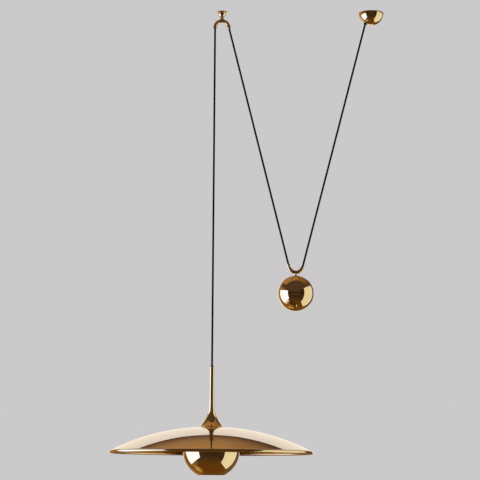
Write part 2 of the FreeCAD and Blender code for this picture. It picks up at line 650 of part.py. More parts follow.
def make_lamp_fixings():
    """Threaded tube, washer, nuts and the three-armed bracket under the dome."""
    bore = "dims.nipple_bore / 2"
    thread = "dims.nipple_diameter / 2"
    spun("nipple", [
        (bore, "-22"), (f"{thread} - 0.5", "-22"), (thread, "-21.5"), (thread, BOSS_TOP - 0.5),
        (f"{thread} - 0.5", BOSS_TOP), (bore, BOSS_TOP),
    ], LAMP)
    keep("shade_washer", disc("shade_washer_ring", "11", THREAD, f"{WASHER_TOP} - 1.18", WASHER_TOP, LAMP))
    nuts = []
    for number, low in enumerate((f"{ARM_TOP}", f"{ARM_TOP} - dims.arm_wall - {NUT_HEIGHT}"), start=1):
        solid = hexagon(f"nut_body_{number}", "14", NUT_HEIGHT, at_lamp(0, 0, low))
        hole = cylinder(f"nut_hole_{number}", THREAD, "6", at_lamp(0, 0, f"{low} - 1"))
        nuts.append(cut(f"nut_{number}", solid, hole))
    keep("nipple_nuts", group("nipple_nut_set", nuts))

    under = f"({ARM_TOP} - dims.arm_wall)"
    foot = "(derived.bowl_screw_z - dims.bowl_rim / 2)"
    pieces = [disc("bracket_hub", "16", THREAD, under, ARM_TOP, LAMP)]
    tools = []
    for number, turn in enumerate(ARM_TURNS, start=1):
        reach = "derived.arm_reach"
        pieces.append(radial_strip(f"bracket_arm_{number}", "10", reach, under, ARM_TOP, turn))
        pieces.append(radial_strip(f"bracket_tab_{number}", f"{reach} - dims.arm_wall", reach, foot,
                                   ARM_TOP, turn))
        tools.append(radial_pin(f"bracket_hole_{number}", "dims.bowl_screw_diameter / 2 + 0.05",
                                "derived.arm_reach - 8", "derived.arm_reach + 4", turn))
    keep("bowl_bracket", cut("bowl_bracket_part", fuse("bowl_bracket_body", *pieces), *tools))


def radial_strip(label, start, end, low, high, turn):
    """A strip of the bracket that points out from the lamp's axis, between two levels."""
    item = doc.addObject("Part::Box", label)
    item.setExpression("Length", f"({end} - ({start})) * 1 mm")
    item.setExpression("Width", "dims.arm_width * 1 mm")
    item.setExpression("Height", f"({high} - ({low})) * 1 mm")
    place(item, at_lamp(f"({start}) * cos({turn} deg) + dims.arm_width / 2 * sin({turn} deg)",
                        f"({start}) * sin({turn} deg) - dims.arm_width / 2 * cos({turn} deg)", low),
          f"{turn}", UP)
    return item


def radial_pin(label, radius, start, end, turn):
    """A round bar that points out from the lamp's axis at the level of the bowl screws."""
    across = VECTOR(-math.sin(math.radians(turn)), math.cos(math.radians(turn)), 0)
    spot = at_lamp(f"({start}) * cos({turn} deg)", f"({start}) * sin({turn} deg)", "derived.bowl_screw_z")
    return cylinder(label, radius, f"{end} - ({start})", spot, "90", across)


def make_bowl():
    """The spun glare bowl, open at the bottom, and the screws that hold it to the bracket."""
    outer = "dims.bowl_radius"
    inner = "(dims.bowl_radius - dims.bowl_wall)"
    mouth = "dims.bowl_mouth_diameter / 2"
    blank = turned("bowl_blank", [
        (outer, BOWL_CENTRE), (outer, "derived.bowl_rim_z"), (inner, "derived.bowl_rim_z"),
        (inner, BOWL_CENTRE, f"-{inner}"),
        (mouth, f"{BOWL_CENTRE} - sqrt({inner} ^ 2 - ({mouth}) ^ 2)"),
        (mouth, f"{BOWL_CENTRE} - sqrt({outer} ^ 2 - ({mouth}) ^ 2)", outer),
    ], LAMP)
    reach = "derived.arm_reach"
    holes = []
    screws = []
    for number, turn in enumerate(ARM_TURNS, start=1):
        holes.append(radial_pin(f"bowl_hole_{number}", "dims.bowl_screw_diameter / 2 + 0.15",
                                f"{reach} - 8", f"{reach} + 8", turn))
        shank = radial_pin(f"bowl_shank_{number}", "dims.bowl_screw_diameter / 2",
                           f"{reach} - 4", f"{reach} + 2", turn)
        head = radial_pin(f"bowl_head_{number}", "2.8", f"{reach} + 1.15", f"{reach} + 2.7", turn)
        screws.append(fuse(f"bowl_screw_{number}", shank, head))
    keep("bowl", cut("bowl_part", blank, *holes))
    keep("bowl_screws", group("bowl_screw_set", screws))


def make_holder_and_bulb():
    """Lamp holder in five pieces, with the bulb screwed into it."""
    spun("holder_cap", [
        (THREAD, "-12"), ("10", "-12"), ("11", "-13", "-14"), (HOLDER, "-22"), (HOLDER, "-34"),
        (f"{HOLDER} - 1.5", "-34"), (f"{HOLDER} - 1.5", "-23", "13"), ("10.5", "-16"), (THREAD, "-16"),
    ], LAMP)
    spun("holder_insert", [
        ("0", "-25"), ("13", "-25"), ("13", "-30"), (f"{HOLDER} - 1.6", "-30"),
        (f"{HOLDER} - 1.6", "-33.8"), ("13.4", "-33.8"), ("13.4", "-31"), ("0", "-31"),
    ], LAMP)
    spun("holder_body", [
        (HOLDER, "-34.1"), (HOLDER, "-38"), (f"{HOLDER} - 2", "-40"), (f"{HOLDER} - 3", "-60"),
        (f"{HOLDER} - 5", "-62"), ("14.6", "-62"), ("14.6", "-34.1"),
    ], LAMP)
    spun("holder_thread_shell", [
        ("13.5", "-34"), ("14.5", "-34"), ("14.5", "-58"), ("13.5", "-58"),
    ], LAMP)
    spun("holder_contact", [("0", "-31.05"), ("3.5", "-31.05"), ("3.5", "-31.9"), ("0", "-31.9")], LAMP)
    top = BULB_TOP
    radius = "dims.bulb_diameter / 2"
    spun("bulb_cap", [
        ("0", top), ("4.5", top), ("9", f"{top} - 4"), ("13.1", f"{top} - 5"), ("13.1", f"{top} - 27"),
        ("12.3", f"{top} - 27"), ("12.3", f"{top} - 7"), ("0", f"{top} - 3"),
    ], LAMP)
    end = f"({top} - dims.bulb_length)"
    middle = f"({end} + {radius})"
    spun("bulb_glass", [
        ("0", f"{end} + 1"), ("0", end, radius), (radius, middle, "40"),
        ("17", f"{top} - 35", "-30"), ("13", f"{top} - 27.2"), ("12.2", f"{top} - 27.2"),
        ("12.2", f"{top} - 21"), ("11.2", f"{top} - 21"), ("11.2", f"{top} - 27.6", "30"),
        ("16", f"{top} - 35.4", "-39"), (f"{radius} - 1", middle, f"1 - {radius}"),
    ], LAMP)


def make_runs():
    """The three straight stretches of the cord that the room shows."""
    radius = "dims.cord_diameter / 2"
    left = ("dims.counterweight_offset - derived.leg_x", "0", "derived.ball_leg_end")
    right = ("dims.counterweight_offset + derived.leg_x", "0", "derived.ball_leg_end")
    lamp = ("derived.lamp_x", "0", "derived.stem_top + dims.bush_lip")
    splay = "derived.splay_angle"
    keep("cord_run_left", cylinder("run_left", radius, "derived.left_run", left, f"-{splay}"))
    keep("cord_run_right", cylinder("run_right", radius, "derived.right_run", right, splay))
    keep("cord_run_lamp", cylinder("run_lamp", radius, "dims.lamp_cord_length - dims.bush_lip", lamp))


make_hook()
make_counterweight()
make_canopy()
make_shade()
make_stem()
make_lamp_fixings()
make_bowl()
make_holder_and_bulb()
make_runs()
doc.recompute()

# --- Test everything, then write each piece -------------------------------------------------------

for item in doc.Objects:
    if {"Invalid", "Error"} & set(item.State):
        raise RuntimeError(f"{item.Name} failed: {item.State}")
for label, item in nodes.items():
    if item.Shape.isNull() or not item.Shape.isValid():
        raise RuntimeError(f"{label} has no valid shape")

for label, item in sorted(nodes.items()):
    item.Shape.exportStep(f"parts/{label}.step")
    print(f"{label:24s} {len(item.Shape.Solids)} solids, {item.Shape.Volume:11.1f} mm3")
for name, _ in DERIVED:
    print(f"{name:24s} {value('derived.' + name):9.3f}")
print("cord arc radii: both bends", value("dims.guide_bend"), "mm")
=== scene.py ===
# %% [markdown]
# # Rise and fall pendant
# A polished brass disc lamp hangs on a black textile cord. The cord runs over a ceiling hook,
# round a brass ball that balances the lamp, and up into a small canopy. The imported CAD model
# holds every real size. This lesson dresses it: each visible piece is modelled again with a
# smooth skin, and gets the finish of the real one.
#
# The frame has to be loaded first, because every place below is read from it.

# %% Load the frame
import json
import math

import bmesh
import bpy
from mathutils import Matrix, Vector


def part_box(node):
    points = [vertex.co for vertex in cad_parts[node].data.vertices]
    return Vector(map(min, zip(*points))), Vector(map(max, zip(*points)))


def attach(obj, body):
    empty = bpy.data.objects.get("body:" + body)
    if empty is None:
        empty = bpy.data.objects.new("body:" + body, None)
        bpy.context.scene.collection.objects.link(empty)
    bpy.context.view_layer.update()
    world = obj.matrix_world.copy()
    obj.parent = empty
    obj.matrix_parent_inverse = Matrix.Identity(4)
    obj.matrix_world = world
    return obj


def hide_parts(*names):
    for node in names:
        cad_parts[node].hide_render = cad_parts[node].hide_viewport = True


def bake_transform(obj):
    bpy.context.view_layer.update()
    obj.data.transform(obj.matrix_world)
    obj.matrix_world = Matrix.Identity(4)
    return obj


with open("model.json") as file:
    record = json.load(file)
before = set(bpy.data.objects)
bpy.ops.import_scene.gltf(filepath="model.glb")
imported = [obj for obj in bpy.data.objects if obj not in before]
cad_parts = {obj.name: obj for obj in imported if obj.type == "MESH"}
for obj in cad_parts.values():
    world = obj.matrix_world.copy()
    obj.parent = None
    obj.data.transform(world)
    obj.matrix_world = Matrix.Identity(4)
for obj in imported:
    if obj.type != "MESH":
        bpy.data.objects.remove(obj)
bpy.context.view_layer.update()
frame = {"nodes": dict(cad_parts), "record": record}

scene = bpy.context.scene
bpy.ops.object.select_all(action="DESELECT")

# %% [markdown]
# ## Sizes from the frame
# A box in the frame says where a node is. The middle of a turned piece's box is its axis, and
# half its width is its radius, so nothing below repeats a size that the frame already knows.

# %% Axes and levels, in metres
MM = 0.001


def middle(node):
    """The middle of a CAD node's box."""
    low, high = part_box(node)
    return (low + high) / 2


def radius_of(node):
    """Half the width of a turned CAD node."""
    low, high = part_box(node)
    return (high.x - low.x) / 2


hook_axis = Vector((middle("hook_rosette").x, 0, 0))
canopy_axis = Vector((middle("canopy_dome").x, 0, 0))
lamp_axis = Vector((middle("shade").x, 0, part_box("shade")[1].z))
ball_centre = middle("counterweight_ball")
ball_centre.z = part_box("counterweight_ball")[0].z + radius_of("counterweight_ball")
edge_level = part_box("shade")[0].z
print("dome top at", round(lamp_axis.z, 4), "m, edge at", round(edge_level, 4), "m")

# %% Bends of the two guide tubes
TUBE = 5 * MM
TUBE_BORE = 4 * MM
BEND = 19 * MM
SPLAY = math.radians(14.198)
SPLAYED_END = 7.9 * MM
PLUMB_END = 3 * MM
hook_bend = Vector((0, 0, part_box("hook_guide")[1].z - BEND - TUBE))
weight_bend = Vector((
    middle("counterweight_guide").x, 0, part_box("counterweight_guide")[0].z + BEND + TUBE))
print("bends at", list(hook_bend), "and", list(weight_bend))

# %% [markdown]
# ## Camera
# The photograph was taken from just under the lamp's level with a long lens, tipped up a
# little and turned half a degree. The lens and the tip were solved from the slant of the
# plumb cord and from the outlines of the disc and the ball.

# %% Camera
CAMERA_PLACE = (0.0545, -4.9, -1.3177)
CAMERA_LENS = 135.3
CAMERA_TIP = math.radians(7.86)
CAMERA_ROLL = math.radians(0.4)

bpy.ops.object.camera_add(location=CAMERA_PLACE, rotation=(math.radians(90) + CAMERA_TIP, 0, 0))
camera = bpy.context.object
camera.name = "camera"
camera.rotation_euler.rotate_axis("Z", CAMERA_ROLL)
camera.data.lens = CAMERA_LENS
camera.data.sensor_width = 36
camera.data.clip_end = 40
scene.camera = camera

# %% [markdown]
# ## Cord
# The cord is a round flex in a braided textile sleeve, 5.4 mm thick. The lamp's weight pulls
# it taut, so each of its three free stretches is straight. A curve with a round bevel would do
# for the shape, but it has no braid. So each route is a NURBS line, and rings of vertices
# follow it, each vertex a little further out where a thread of the braid crosses on top.

# %% Routes of the cord
# Metres, from the end that stays with the ceiling to the end that moves.
CORD_RADIUS = 2.7 * MM
LAMP_RUN = [(-0.019, 0, -0.047), (-0.019, 0, -0.5167), (-0.019, 0, -0.9864)]
LEFT_RUN = [(0.020357, 0, -0.046998), (0.1039, 0, -0.3772), (0.187443, 0, -0.707402)]
RIGHT_RUN = [(0.399595, 0, -0.029794), (0.313876, 0, -0.368598), (0.228157, 0, -0.707402)]
IN_STEM_RUN = [(-0.019, 0, -1.1652), (-0.019, 0, -1.0758), (-0.019, 0, -0.9864)]
IN_CANOPY_RUN = [(0.399595, 0, -0.029794), (0.4026, 0, -0.017918), (0.405604, 0, -0.006042)]


def route_line(points):
    """The points of the smooth NURBS line that a few given points steer."""
    curve = bpy.data.curves.new("route", "CURVE")
    curve.dimensions = "3D"
    curve.resolution_u = 48
    spline = curve.splines.new("NURBS")
    spline.points.add(len(points) - 1)
    for control, point in zip(spline.points, points):
        control.co = (*point, 1)
    spline.order_u = 3
    spline.use_endpoint_u = True
    holder = bpy.data.objects.new("route", curve)
    mesh = bpy.data.meshes.new_from_object(holder)
    line = [vertex.co.copy() for vertex in mesh.vertices]
    bpy.data.objects.remove(holder)
    bpy.data.curves.remove(curve)
    bpy.data.meshes.remove(mesh)
    return line


# %% Braided skin
BRAID_SIDES = 32
BRAID_RING = 0.5 * MM
BRAID_PAIRS = 8
BRAID_LAY = 17 * MM
BRAID_RELIEF = 0.14 * MM
UNDER_THREAD = 0.45


def braid_height(turn, along):
    """Height of the braid, 0 to 1, at a part of a turn round the cord and a distance along it."""
    right = BRAID_PAIRS * (turn + along / BRAID_LAY)
    left = BRAID_PAIRS * (turn - along / BRAID_LAY)
    crest_right = abs(math.sin(math.pi * right))
    crest_left = abs(math.sin(math.pi * left))
    if (math.floor(right) + math.floor(left)) % 2 == 0:
        return max(crest_right, UNDER_THREAD * crest_left)
    return max(crest_left, UNDER_THREAD * crest_right)


def evenly(line, step):
    """(place, direction, distance) at even steps along a line of points."""
    lengths = [0.0]
    for start, end in zip(line, line[1:]):
        lengths.append(lengths[-1] + (end - start).length)
    count = max(2, round(lengths[-1] / step))
    found = []
    part = 0
    for number in range(count + 1):
        distance = lengths[-1] * number / count
        while part < len(line) - 2 and lengths[part + 1] < distance:
            part += 1
        span = line[part + 1] - line[part]
        share = (distance - lengths[part]) / span.length
        found.append((line[part] + span * share, span.normalized(), distance))
    return found


def braided_cord(name, points):
    """A closed, braided tube along a route, with a UV map of turns round and turns along."""
    line = route_line(points)
    rings = evenly(line, BRAID_RING)
    vertices = []
    for place, direction, distance in rings:
        side = Vector((0, 1, 0))
        out = direction.cross(side)
        for number in range(BRAID_SIDES):
            turn = number / BRAID_SIDES
            reach = CORD_RADIUS - BRAID_RELIEF * (1 - braid_height(turn, distance))
            angle = math.tau * turn
            vertices.append(place + (side * math.sin(angle) + out * math.cos(angle)) * reach)
    faces = []
    for ring in range(len(rings) - 1):
        for number in range(BRAID_SIDES):
            after = (number + 1) % BRAID_SIDES
            base = ring * BRAID_SIDES
            faces.append((base + number, base + after,
                          base + BRAID_SIDES + after, base + BRAID_SIDES + number))
    faces.append(tuple(reversed(range(BRAID_SIDES))))
    faces.append(tuple(range(len(vertices) - BRAID_SIDES, len(vertices))))
    mesh = bpy.data.meshes.new(name)
    mesh.from_pydata(vertices, [], faces)
    layer = mesh.uv_layers.new(name="turns")
    for face in mesh.polygons[:-2]:
        corner_turns = [vertex % BRAID_SIDES for vertex in face.vertices]
        wraps = 0 in corner_turns and BRAID_SIDES - 1 in corner_turns
        for corner, vertex in zip(face.loop_indices, face.vertices):
            turn = vertex % BRAID_SIDES
            turn = BRAID_SIDES if wraps and turn == 0 else turn
            along = rings[vertex // BRAID_SIDES][2] / BRAID_LAY
            layer.data[corner].uv = (turn / BRAID_SIDES, along)
    mesh.validate()
    piece = bpy.data.objects.new(name, mesh)
    scene.collection.objects.link(piece)
    for face in mesh.polygons[:-2]:
        face.use_smooth = True
    return piece, line


# %% Three free stretches
def free_cord(name, points):
    """A taut stretch of cord between the ceiling and a piece that moves."""
    piece, line = braided_cord(name, points)
    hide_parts(name.replace("braided_", ""))
    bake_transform(piece)
    return piece


cords = [
    free_cord("braided_cord_run_lamp", LAMP_RUN),
    free_cord("braided_cord_run_left", LEFT_RUN),
    free_cord("braided_cord_run_right", RIGHT_RUN),
]

# %% [markdown]
# The same cord goes on inside the two guide tubes, the stem and the canopy. In a bend, the
# points that steer the NURBS line are the corners of a polygon drawn round the bend, because
# such a line touches the middle of each side.

# %% Cord inside the brass
BEND_CORNERS = 5
QUARTER = math.radians(90)


def spoke(up, angle):
    """From the middle of a bend out to its round. The angle is 0 at its crown."""
    return Vector((math.sin(angle), 0, up * math.cos(angle)))


def heading(up, angle):
    """The way a bend runs at an angle: up is 1 for an arch and -1 for a trough."""
    return Vector((math.cos(angle), 0, -up * math.sin(angle)))


def round_bend(centre, up, first, last, first_end, last_end):
    """Steering points of a cord round a guide's bend. Angles are from the bend's middle."""
    step = (first + last) / BEND_CORNERS
    reach = BEND / math.cos(step / 2)
    points = []
    for number in range(BEND_CORNERS):
        points.append(centre + spoke(up, -first + (number + 0.5) * step) * reach)
    start = centre + spoke(up, -first) * BEND - heading(up, -first) * first_end
    end = centre + spoke(up, last) * BEND + heading(up, last) * last_end
    return [start, *points, end]


HOOK_ROUTE = (hook_bend, 1, QUARTER, QUARTER - SPLAY, PLUMB_END, SPLAYED_END)
WEIGHT_ROUTE = (weight_bend, -1, QUARTER - SPLAY, QUARTER - SPLAY, SPLAYED_END, SPLAYED_END)
held_cords = [
    ("cord_in_hook", round_bend(*HOOK_ROUTE), "root"),
    ("cord_in_counterweight", round_bend(*WEIGHT_ROUTE), "counterweight"),
    ("cord_in_stem", IN_STEM_RUN, "lamp"),
    ("cord_in_canopy", IN_CANOPY_RUN, "root"),
]
for node, points, body in held_cords:
    piece, line = braided_cord("braided_" + node, points)
    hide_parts(node)
    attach(piece, body)
    cords.append(piece)
    print(piece.name, len(line), "points")

# %% [markdown]
# ## Modelling turned and spun brass
# Nearly every brass piece here is turned on a lathe or spun over a former, so it has one
# outline and an axis. Blender's Screw modifier could do it. The Spin operator is used, because
# it leaves a plain mesh. The outline starts as a circle with as many points as the outline
# needs, each point is put in its place, and the whole is spun. Mirror-bright metal shows every
# facet, so arcs are cut fine and the turn has 256 steps.

# %% Outlines
def arc_points(start, end, radius, step):
    """Points along the minor arc from start up to end: a positive radius turns left."""
    half = (end - start) / 2
    side = Vector((-half.y, half.x)).normalized()
    reach = math.sqrt(max(radius * radius - half.length_squared, 0.0))
    centre = start + half + side * math.copysign(reach, radius)
    turn = 2 * math.asin(min(1.0, half.length / abs(radius)))
    count = max(2, math.ceil(turn / math.radians(4)), math.ceil(turn * abs(radius) / step))
    spoke = start - centre
    found = []
    for number in range(count):
        angle = math.copysign(turn * number / count, radius)
        found.append(centre + Vector((
            spoke.x * math.cos(angle) - spoke.y * math.sin(angle),
            spoke.x * math.sin(angle) + spoke.y * math.cos(angle),
        )))
    return found


def outline(corners, step=1.5):
    """Points of a closed outline of (radius, height[, arc radius to the next corner]), in mm."""
    found = []
    for number, corner in enumerate(corners):
        start = Vector(corner[:2])
        end = Vector(corners[(number + 1) % len(corners)][:2])
        if len(corner) > 2:
            found += arc_points(start, end, corner[2], step)
        else:
            count = max(1, math.ceil((end - start).length / (4 * step)))
            found += [start.lerp(end, part / count) for part in range(count)]
    return found


# %% Lathe
def finish_mesh(piece, sharp=30):
    """Merge doubles, turn the faces out and shade the piece smooth up to an angle."""
    bpy.ops.object.mode_set(mode="EDIT")
    bpy.ops.mesh.select_all(action="SELECT")
    bpy.ops.mesh.remove_doubles(threshold=0.001 * MM)
    bpy.ops.mesh.delete_loose()
    bpy.ops.mesh.select_all(action="SELECT")
    bpy.ops.mesh.normals_make_consistent(inside=False)
    bpy.ops.object.mode_set(mode="OBJECT")
    bpy.ops.object.shade_smooth_by_angle(angle=math.radians(sharp))


def turned(name, corners, place, tilt=0.0, step=1.5, steps=256, sharp=30):
    """A piece turned from one closed outline round an axis through its place."""
    points = outline(corners, step)
    bpy.ops.object.select_all(action="DESELECT")
    bpy.ops.mesh.primitive_circle_add(vertices=len(points), radius=1)
    piece = bpy.context.object
    piece.name = name
    for vertex, point in zip(piece.data.vertices, points):
        vertex.co = (point.x * MM, 0, point.y * MM)
    bpy.ops.object.mode_set(mode="EDIT")
    bpy.ops.mesh.select_all(action="SELECT")
    bpy.ops.mesh.spin(steps=steps, angle=math.tau, center=(0, 0, 0), axis=(0, 0, 1))
    bpy.ops.object.mode_set(mode="OBJECT")
    finish_mesh(piece, sharp)
    piece.location = place
    piece.rotation_euler = (0, tilt, 0)
    bpy.ops.object.transform_apply(location=True, rotation=True, scale=True)
    print(f"{name}: {len(piece.data.polygons)} faces")
    return piece


def cut_away(piece, cutter, sharp=30):
    """Cut one mesh out of another and remove the cutter."""
    bpy.ops.object.select_all(action="DESELECT")
    bpy.context.view_layer.objects.active = piece
    piece.select_set(True)
    cut = piece.modifiers.new("cut", "BOOLEAN")
    cut.operation = "DIFFERENCE"
    cut.solver = "EXACT"
    cut.object = cutter
    bpy.ops.object.modifier_apply(modifier=cut.name)
    bpy.data.objects.remove(cutter)
    bpy.ops.object.shade_smooth_by_angle(angle=math.radians(sharp))


# %% [markdown]
# ## Bent guide tubes
# Each guide is a brass tube bent round a former, with the cord inside. A ring is set at one
# end of the bend, spun round the bend's centre, and extruded straight at both ends. Solidify
# gives the wall, inwards, and Bevel rounds the two lips so that they don't cut the cord.

# %% Guides
LIP_ROUND = 0.3 * MM
SEAT_BITE = 0.1 * MM


def bent_guide(name, centre, up, first, last, first_end, last_end):
    """A tube round a bend in the XZ plane, with a straight piece at each end."""
    start, end = centre + spoke(up, -first) * BEND, centre + spoke(up, last) * BEND
    along = heading(up, -first)
    bpy.ops.object.select_all(action="DESELECT")
    bpy.ops.mesh.primitive_circle_add(
        vertices=64, radius=TUBE, location=start, rotation=(0, math.atan2(along.x, along.z), 0))
    piece = bpy.context.object
    piece.name = name
    bpy.ops.object.transform_apply(location=True, rotation=True, scale=True)
    bpy.ops.object.mode_set(mode="EDIT")
    bpy.ops.mesh.select_all(action="SELECT")
    bpy.ops.mesh.spin(steps=96, angle=-up * (first + last), center=centre, axis=(0, 1, 0))
    for place, way in ((start, along * -first_end), (end, heading(up, last) * last_end)):
        shell = bmesh.from_edit_mesh(piece.data)
        for vertex in shell.verts:
            offset = vertex.co - place
            vertex.select = offset.length < TUBE * 1.01 and abs(offset.dot(way)) < 1e-9
        shell.select_flush_mode()
        bpy.ops.mesh.extrude_region_move(TRANSFORM_OT_translate={"value": way})
    bpy.ops.mesh.select_all(action="SELECT")
    bpy.ops.mesh.remove_doubles(threshold=0.001 * MM)
    bpy.ops.mesh.normals_make_consistent(inside=False)
    bpy.ops.object.mode_set(mode="OBJECT")
    wall = piece.modifiers.new("wall", "SOLIDIFY")
    wall.thickness = TUBE - TUBE_BORE
    wall.offset = -1
    wall.use_even_offset = True
    bpy.ops.object.modifier_apply(modifier=wall.name)
    lips = piece.modifiers.new("lips", "BEVEL")
    lips.width = LIP_ROUND
    lips.segments = 3
    lips.limit_method = "ANGLE"
    lips.angle_limit = math.radians(50)
    bpy.ops.object.modifier_apply(modifier=lips.name)
    bpy.ops.object.shade_smooth_by_angle(angle=math.radians(40))
    print(f"{name}: {len(piece.data.polygons)} faces")
    return piece


def saddle_cutter(centre):
    """A ring of the guide's size, to cut the seat of a piece that is soldered to the guide."""
    bpy.ops.object.select_all(action="DESELECT")
    bpy.ops.mesh.primitive_torus_add(
        location=centre, rotation=(QUARTER, 0, 0), major_radius=BEND, minor_radius=TUBE - SEAT_BITE,
        major_segments=160, minor_segments=64)
    return bpy.context.object


hook_guide = bent_guide("bent_hook_guide", *HOOK_ROUTE)
weight_guide = bent_guide("bent_counterweight_guide", *WEIGHT_ROUTE)

# %% [markdown]
# ## Ceiling hook
# A small spun rosette covers the hole in the ceiling, and a turned neck comes out of it and
# holds the guide. The neck's end is cut to the tube's round, as it is filed before soldering.

# %% Hook
rosette = turned("spun_hook_rosette", [
    (17.5, 0), (16.7, 0), (16.7, -0.7, 8.5), (10.2, -3.4, -14), (6.1, -11.2), (6.1, -12.6),
    (7.1, -12.6, 14), (11, -4.4, -8.5), (17.5, -1.4),
], hook_axis, step=0.4)
neck = turned("turned_hook_neck", [
    (2.95, -5), (2.95, -14.5), (0, -15.5), (0, -24), (5, -24), (5, -18.4, -2.4), (6, -16), (6, -5),
], hook_axis, step=0.4, steps=128)
cut_away(neck, saddle_cutter(hook_bend))

# %% [markdown]
# ## Counterweight
# The ball is solid brass, turned and polished. Its top has a small flat, and a threaded lug
# screws into it. A UV sphere would have its poles and its even rings, but no flat and no hole,
# so the ball is spun from its outline too.

# %% Ball and lug
ball_radius = radius_of("counterweight_ball") / MM
BALL_FLAT = 5.4
face_height = math.sqrt(ball_radius ** 2 - BALL_FLAT ** 2)
tube_underside = (weight_bend.z - BEND - TUBE - ball_centre.z) / MM
ball = turned("turned_counterweight_ball", [
    (0, -ball_radius, ball_radius), (ball_radius, 0, ball_radius), (BALL_FLAT, face_height),
    (3.05, face_height), (3.05, face_height - 24), (0, face_height - 26),
], ball_centre, step=1.2)
lug = turned("turned_counterweight_lug", [
    (0, face_height - 22), (2.5, face_height - 22), (3, face_height - 21.4), (3, face_height),
    (4.6, face_height), (4.6, tube_underside + 2), (0, tube_underside + 2),
], ball_centre, step=0.4, steps=128)
cut_away(lug, saddle_cutter(weight_bend))

# %% [markdown]
# ## Ceiling canopy
# Half a hollow ball against the ceiling, spun from 1 mm sheet. The cord enters through a hole
# on the side that faces the counterweight, so that it isn't bent, and a rubber grommet lines
# the hole.

# %% Canopy
canopy_radius = radius_of("canopy_dome") / MM
CANOPY_WALL = 1.0
ENTRY_TURN = math.radians(28.8)
ENTRY_HOLE = 4.5
FLANGE = 6.0
inner_radius = canopy_radius - CANOPY_WALL
canopy = turned("spun_canopy_dome", [
    (canopy_radius, 0), (inner_radius, 0, -inner_radius), (0, -inner_radius),
    (0, -canopy_radius, canopy_radius),
], canopy_axis, step=0.8)
entry = canopy_axis - Vector((math.sin(ENTRY_TURN), 0, math.cos(ENTRY_TURN))) * canopy_radius * MM
bpy.ops.object.select_all(action="DESELECT")
bpy.ops.mesh.primitive_cylinder_add(
    vertices=96, radius=ENTRY_HOLE * MM, depth=12 * MM, location=entry, rotation=(0, ENTRY_TURN, 0))
cut_away(canopy, bpy.context.object, sharp=25)

lip = math.sqrt(canopy_radius ** 2 - ENTRY_HOLE ** 2)
back = math.sqrt(inner_radius ** 2 - FLANGE ** 2)
grommet = turned("moulded_canopy_grommet", [
    (3.5, 0.4 - lip - 1.2), (3.9, -lip - 1.2), (5.4, -lip - 1.2, 0.6), (FLANGE, -lip - 0.6),
    (FLANGE, -lip), (ENTRY_HOLE, -lip), (ENTRY_HOLE, -back), (FLANGE, -back),
    (FLANGE, 1.2 - back), (3.5, 1.2 - back),
], canopy_axis, tilt=ENTRY_TURN, step=0.3, steps=96)

# %% [markdown]
# ## Lamp
# The disc is a shallow dome spun from thin sheet. Its edge is rolled outwards and under into a
# hollow bead, which keeps the thin sheet stiff. The crease where the dome meets the bead is
# sharp, and the smoothing angle is smaller than its turn, so that it stays so.

# %% Disc
shade_radius = radius_of("shade") / MM
DOME_CURVE = 600.0
SHEET = 0.7
ROLL = 4.5
HOLE = 5.05
roll_axis = shade_radius - ROLL
roll_level = (edge_level - lamp_axis.z) / MM + ROLL


def dome_height(radius, curve=DOME_CURVE):
    """Height of the dome, from its top, at a radius."""
    return math.sqrt(curve ** 2 - radius ** 2) - DOME_CURVE


CREASE_IN = roll_axis - 0.55
CREASE_OUT = roll_axis - 0.42
ROLL_END = math.radians(190)
under_curve = DOME_CURVE - SHEET
inner_roll = ROLL - SHEET
shade = turned("spun_shade", [
    (HOLE, dome_height(HOLE, under_curve), -under_curve),
    (CREASE_IN, dome_height(CREASE_IN, under_curve), -inner_roll),
    (roll_axis + inner_roll, roll_level, -inner_roll),
    (roll_axis, roll_level - inner_roll, -inner_roll),
    (roll_axis + inner_roll * math.cos(ROLL_END), roll_level + inner_roll * math.sin(ROLL_END)),
    (roll_axis + ROLL * math.cos(ROLL_END), roll_level + ROLL * math.sin(ROLL_END), ROLL),
    (roll_axis, roll_level - ROLL, ROLL),
    (roll_axis + ROLL, roll_level, ROLL),
    (CREASE_OUT, dome_height(CREASE_OUT), DOME_CURVE),
    (HOLE, dome_height(HOLE)),
], lamp_axis, step=2.2, sharp=20)

# %% [markdown]
# The stem is a trumpet: straight at the top, then a long gentle curve, then a tight one that
# flares into a foot on the dome. The two curves share a tangent, or the reflections on the
# polished brass would show a kink.

# %% Stem
stem_top = (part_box("stem")[1].z - lamp_axis.z) / MM
STEM = 6.65
FOOT = 37.2
FOOT_LIP = -0.35
FOOT_DROP = -1.092
FLARE_CURVE, TAPER_CURVE = 62.0, 326.0
FLARE_TURN, TAPER_TURN = math.radians(51.65), math.radians(6.2)
WALL = 1.0
join_radius = STEM + TAPER_CURVE * (1 - math.cos(TAPER_TURN))
flare_reach = 2 * FLARE_CURVE * math.sin(FLARE_TURN / 2)
join_height = FOOT_LIP + math.sqrt(flare_reach ** 2 - (FOOT - join_radius) ** 2)
taper_height = join_height + TAPER_CURVE * math.sin(TAPER_TURN)
inner_join = (join_radius - WALL * math.cos(TAPER_TURN), join_height - WALL * math.sin(TAPER_TURN))
stem = turned("spun_stem", [
    (FOOT, FOOT_DROP), (FOOT, FOOT_LIP - 0.2), (FOOT - 0.25, FOOT_LIP + 0.16, -FLARE_CURVE),
    (join_radius, join_height, -TAPER_CURVE), (STEM, taper_height), (STEM, stem_top - 0.5, 0.5),
    (STEM - 0.5, stem_top), (STEM - WALL, stem_top),
    (STEM - WALL, taper_height, TAPER_CURVE + WALL), (*inner_join, FLARE_CURVE + WALL),
    (FOOT - WALL, FOOT_LIP - 0.6), (FOOT - WALL, FOOT_DROP),
], lamp_axis, step=1.2, sharp=35)
